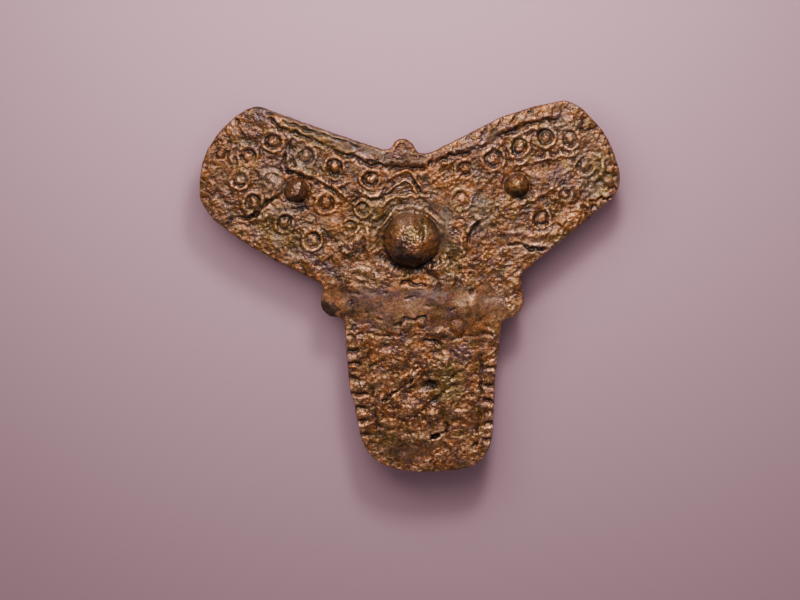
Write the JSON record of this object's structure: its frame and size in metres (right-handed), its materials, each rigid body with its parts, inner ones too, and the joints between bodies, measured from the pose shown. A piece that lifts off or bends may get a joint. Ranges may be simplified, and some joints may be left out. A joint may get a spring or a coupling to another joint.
{
  "type": "trefoil fibula brooch",
  "caption": "Ancient cast bronze trefoil brooch with a domed medallion, ring-and-dot carving, notched borders and the pin fittings on its back.",
  "frame": {"origin": "on the ground under the middle of the brooch's box, as it lies face up on the fittings of its back", "axes": "+Z out of the face, +Y towards the knob between the two upper lobes, +X towards the right lobe as seen from the face"},
  "size_m": [0.0646, 0.058, 0.0115],
  "materials": {
    "bronze": "worn cast copper alloy with a brown and golden patina"
  },
  "bodies": {
    "root": {"brooch": "bronze"}
  },
  "joints": []
}
